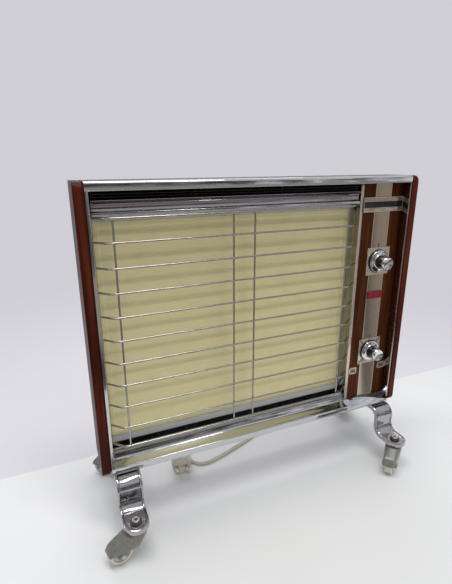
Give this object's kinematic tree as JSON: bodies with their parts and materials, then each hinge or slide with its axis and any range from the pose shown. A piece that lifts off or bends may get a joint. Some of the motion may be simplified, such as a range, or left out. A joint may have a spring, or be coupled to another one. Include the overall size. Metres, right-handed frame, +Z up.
{
  "type": "electric radiator",
  "caption": "Shallow electric radiator between wooden sides: cream radiant panel behind a chromed wire guard, control knobs, curved legs on swivel casters, mains lead and plug.",
  "frame": {"origin": "on the floor, below the middle of the casing", "axes": "+X to the right as seen from the front, +Y to the back, +Z up; the radiant panel and the knobs face -Y"},
  "size_m": [0.6574, 0.3621, 0.601],
  "materials": {
    "wood": "red-brown laminate, satin lacquer",
    "fascia_wood": "dark wood laminate, satin",
    "chrome": "bright chrome plating",
    "guard_chrome": "bright chromed wire",
    "leg_chrome": "bright chrome plating, lightly worn",
    "louvre_black": "matt black",
    "cream_enamel": "cream enamel, satin",
    "grey_enamel": "grey, satin",
    "element_steel": "oxidised steel sheath",
    "zinc_steel": "zinc plated",
    "fibre_board": "black mineral board",
    "brown_paint": "dark brown paint, satin",
    "champagne_aluminium": "champagne anodised, brushed",
    "inlay_black": "gloss black",
    "red_lens": "clear dark red",
    "lamp_body": "pale housing",
    "switch_black": "black moulding",
    "ceramic": "ivory ceramic",
    "terminal_plastic": "cream moulding",
    "wire_insulation": "red-brown insulation",
    "grip_black": "gloss black moulding",
    "knob_chrome": "bright chrome",
    "spindle_steel": "turned steel",
    "screw_steel": "nickel plated",
    "fork_plastic": "grey moulding",
    "wheel_plastic": "pale translucent",
    "axle_steel": "turned steel",
    "lead_plastic": "off-white flexible sheath",
    "pin_brass": "nickel-washed brass"
  },
  "bodies": {
    "heater": {"side_panel_left": "wood", "side_panel_right": "wood", "top_rail": "chrome", "bottom_rail": "chrome", "left_upright": "chrome", "right_upright": "chrome", "divider_wall": "chrome", "reflector_strip": "chrome", "outlet_louvres": "louvre_black", "bezel_bar": "chrome", "wire_guard": "guard_chrome", "radiant_panel": "cream_enamel", "panel_strips": "grey_enamel", "heating_element": "element_steel", "element_brackets": "zinc_steel", "insulation_board": "fibre_board", "rear_cover": "brown_paint", "base_pan": "brown_paint", "control_fascia": "fascia_wood", "fascia_stripe": "champagne_aluminium", "name_band": "champagne_aluminium", "band_inlay": "inlay_black", "label_plates": "champagne_aluminium", "dial_plates": "champagne_aluminium", "indicator_lens": "red_lens", "indicator_lamp": "lamp_body", "selector_switch": "switch_black", "thermostat": "ceramic", "switch_bracket": "zinc_steel", "thermal_cutout": "ceramic", "terminal_block": "terminal_plastic", "internal_wiring": "wire_insulation", "leg_front_left": "leg_chrome", "leg_front_right": "leg_chrome", "leg_rear_left": "leg_chrome", "leg_rear_right": "leg_chrome", "fasteners": "screw_steel", "cord_gland": "lead_plastic", "cord_run": "lead_plastic", "cord_coil": "lead_plastic", "cord_plug": "lead_plastic", "plug_pins": "pin_brass"},
    "selector_knob": {"selector_grip": "grip_black", "selector_trim": "knob_chrome", "selector_spindle": "spindle_steel"},
    "thermostat_knob": {"thermostat_grip": "grip_black", "thermostat_trim": "knob_chrome", "thermostat_spindle": "spindle_steel"},
    "caster_front_left": {"fork_front_left": "fork_plastic", "axle_front_left": "axle_steel"},
    "wheel_front_left_spin": {"wheel_front_left": "wheel_plastic"},
    "caster_front_right": {"fork_front_right": "fork_plastic", "axle_front_right": "axle_steel"},
    "wheel_front_right_spin": {"wheel_front_right": "wheel_plastic"},
    "caster_rear_left": {"fork_rear_left": "fork_plastic", "axle_rear_left": "axle_steel"},
    "wheel_rear_left_spin": {"wheel_rear_left": "wheel_plastic"},
    "caster_rear_right": {"fork_rear_right": "fork_plastic", "axle_rear_right": "axle_steel"},
    "wheel_rear_right_spin": {"wheel_rear_right": "wheel_plastic"}
  },
  "joints": [
    {"name": "selector_turn", "type": "hinge", "parent": "heater", "child": "selector_knob", "pos_m": [0.2505, -0.025, 0.4355], "axis": [0, 1, 0], "range_deg": [0, 135]},
    {"name": "thermostat_turn", "type": "hinge", "parent": "heater", "child": "thermostat_knob", "pos_m": [0.2505, -0.025, 0.2405], "axis": [0, 1, 0], "range_deg": [-135, 135]},
    {"name": "swivel_front_left", "type": "hinge", "parent": "heater", "child": "caster_front_left", "pos_m": [-0.2755, -0.1, 0.05], "axis": [0, 0, 1], "continuous": true},
    {"name": "roll_front_left", "type": "hinge", "parent": "caster_front_left", "child": "wheel_front_left_spin", "pos_m": [-0.30484, -0.10624, 0.02], "axis": [0.2079, -0.9781, 0], "continuous": true},
    {"name": "swivel_front_right", "type": "hinge", "parent": "heater", "child": "caster_front_right", "pos_m": [0.2755, -0.1, 0.05], "axis": [0, 0, 1], "continuous": true},
    {"name": "roll_front_right", "type": "hinge", "parent": "caster_front_right", "child": "wheel_front_right_spin", "pos_m": [0.25123, -0.11763, 0.02], "axis": [0.5878, -0.809, 0], "continuous": true},
    {"name": "swivel_rear_left", "type": "hinge", "parent": "heater", "child": "caster_rear_left", "pos_m": [-0.2755, 0.1, 0.05], "axis": [0, 0, 1], "continuous": true},
    {"name": "roll_rear_left", "type": "hinge", "parent": "caster_rear_left", "child": "wheel_rear_left_spin", "pos_m": [-0.29977, 0.11763, 0.02], "axis": [-0.5878, -0.809, 0], "continuous": true},
    {"name": "swivel_rear_right", "type": "hinge", "parent": "heater", "child": "caster_rear_right", "pos_m": [0.2755, 0.1, 0.05], "axis": [0, 0, 1], "continuous": true},
    {"name": "roll_rear_right", "type": "hinge", "parent": "caster_rear_right", "child": "wheel_rear_right_spin", "pos_m": [0.30484, 0.10624, 0.02], "axis": [-0.2079, 0.9781, 0], "continuous": true}
  ]
}
